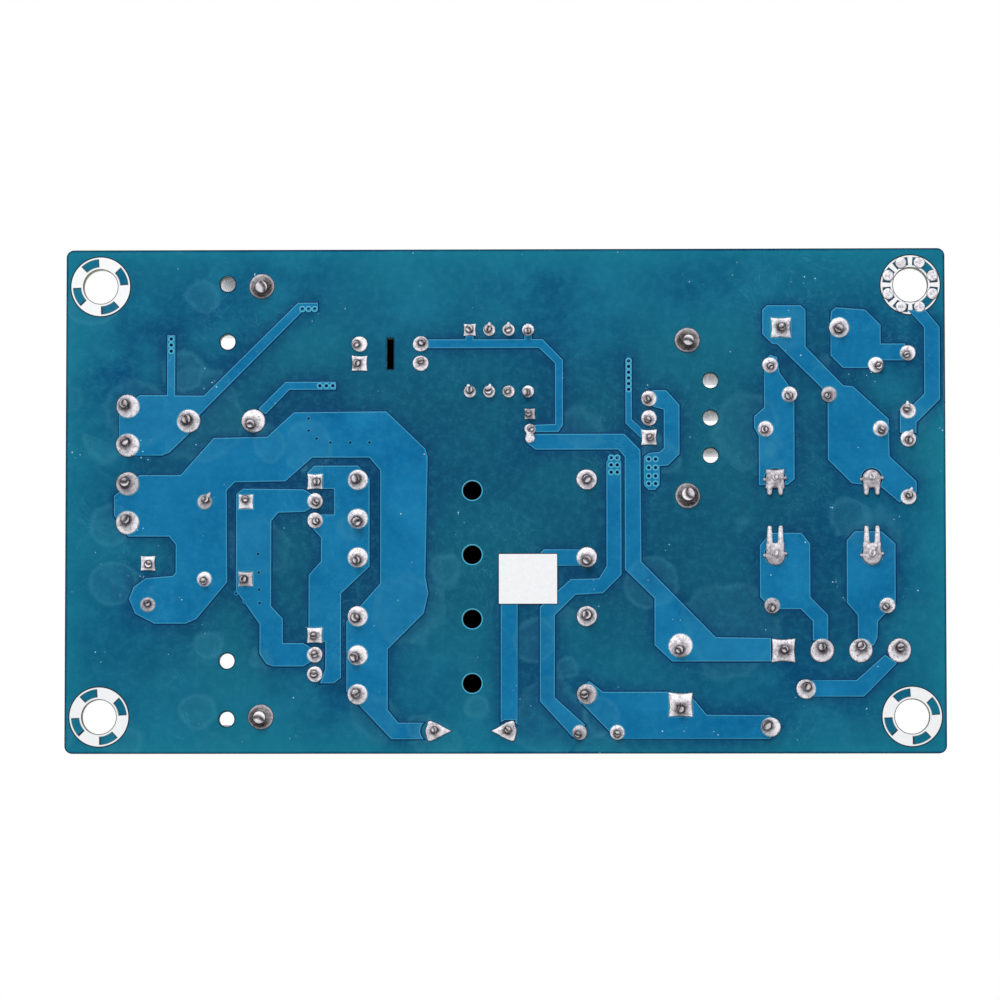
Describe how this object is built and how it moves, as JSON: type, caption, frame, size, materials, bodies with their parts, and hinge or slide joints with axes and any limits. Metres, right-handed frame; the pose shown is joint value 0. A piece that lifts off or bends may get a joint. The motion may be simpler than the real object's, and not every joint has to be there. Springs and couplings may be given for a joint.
{
  "type": "open frame power supply",
  "caption": "Open frame mains power supply on a rectangular circuit board with corner mounting holes, screw terminals at two edges, finned heatsinks and soldered parts.",
  "frame": {"origin": "centre of the four mounting holes, on the underside of the circuit board", "axes": "+X along the board's length to the output terminal, +Y across it to the mains terminal, +Z out of the component side"},
  "size_m": [0.115, 0.066, 0.0342],
  "materials": {
    "board_laminate": "blue solder mask over glass laminate",
    "masked_copper": "blue solder mask over copper",
    "solder": "bright wave soldered joint",
    "terminal_moulding": "moulded green nylon",
    "plated_brass": "nickel plated brass",
    "zinc_plated_steel": "zinc plated",
    "tinned_copper": "tinned",
    "fuse_glass": "clear glass",
    "nickel_plate": "nickel plated brass cap",
    "varistor_coating": "dipped epoxy, blue",
    "disc_coating": "dipped epoxy, light blue",
    "thermistor_coating": "dipped coating, black green",
    "filter_case": "moulded yellow case",
    "ferrite": "ground ferrite",
    "black_moulding": "moulded black phenolic",
    "enamelled_copper": "enamelled copper wire",
    "epoxy_case": "moulded black epoxy",
    "capacitor_sleeve": "shrunk black sleeve",
    "bare_aluminium": "bare pressed aluminium",
    "tinned_tab": "tinned copper tab",
    "silicone_pad": "grey silicone sheet",
    "heatsink_aluminium": "extruded aluminium",
    "polyester_tape": "yellow polyester tape"
  },
  "bodies": {
    "root": {"circuit_board": "board_laminate", "copper_tracks": "masked_copper", "power_joints": "solder", "signal_joints": "solder", "square_joints": "solder", "choke_joints": "solder", "spark_gap_joints": "solder", "heatsink_joints": "solder", "earth_joints": "solder", "input_terminal": "terminal_moulding", "output_terminal": "terminal_moulding", "wire_cages": "plated_brass", "clamp_screws": "zinc_plated_steel", "terminal_pins": "tinned_copper", "fuse_tube": "fuse_glass", "fuse_caps": "nickel_plate", "fuse_wires": "tinned_copper", "varistor": "varistor_coating", "mains_safety_capacitors": "disc_coating", "bridging_capacitor": "disc_coating", "damping_capacitor": "disc_coating", "thermistor": "thermistor_coating", "disc_wires": "tinned_copper", "filter_capacitors": "filter_case", "filter_wires": "tinned_copper", "choke_core": "ferrite", "choke_bobbin": "black_moulding", "choke_windings": "enamelled_copper", "choke_pins": "tinned_copper", "bridge_rectifier": "epoxy_case", "bridge_pins": "tinned_copper", "bulk_capacitor": "capacitor_sleeve", "output_capacitors": "capacitor_sleeve", "supply_capacitor": "capacitor_sleeve", "capacitor_tops": "bare_aluminium", "capacitor_wires": "tinned_copper", "device_tabs": "tinned_tab", "device_bodies": "epoxy_case", "insulating_pads": "silicone_pad", "device_screws": "zinc_plated_steel", "device_pins": "tinned_copper", "primary_heatsink": "heatsink_aluminium", "output_heatsink": "heatsink_aluminium", "heatsink_pins": "tinned_copper", "controller": "epoxy_case", "controller_pins": "tinned_copper", "isolator": "epoxy_case", "isolator_pins": "tinned_copper", "transformer_core": "ferrite", "transformer_bobbin": "black_moulding", "transformer_winding": "enamelled_copper", "winding_tape": "polyester_tape", "core_tape": "polyester_tape", "transformer_pins": "tinned_copper", "output_inductor": "enamelled_copper", "inductor_wires": "enamelled_copper", "surface_parts": "epoxy_case"}
  },
  "joints": []
}
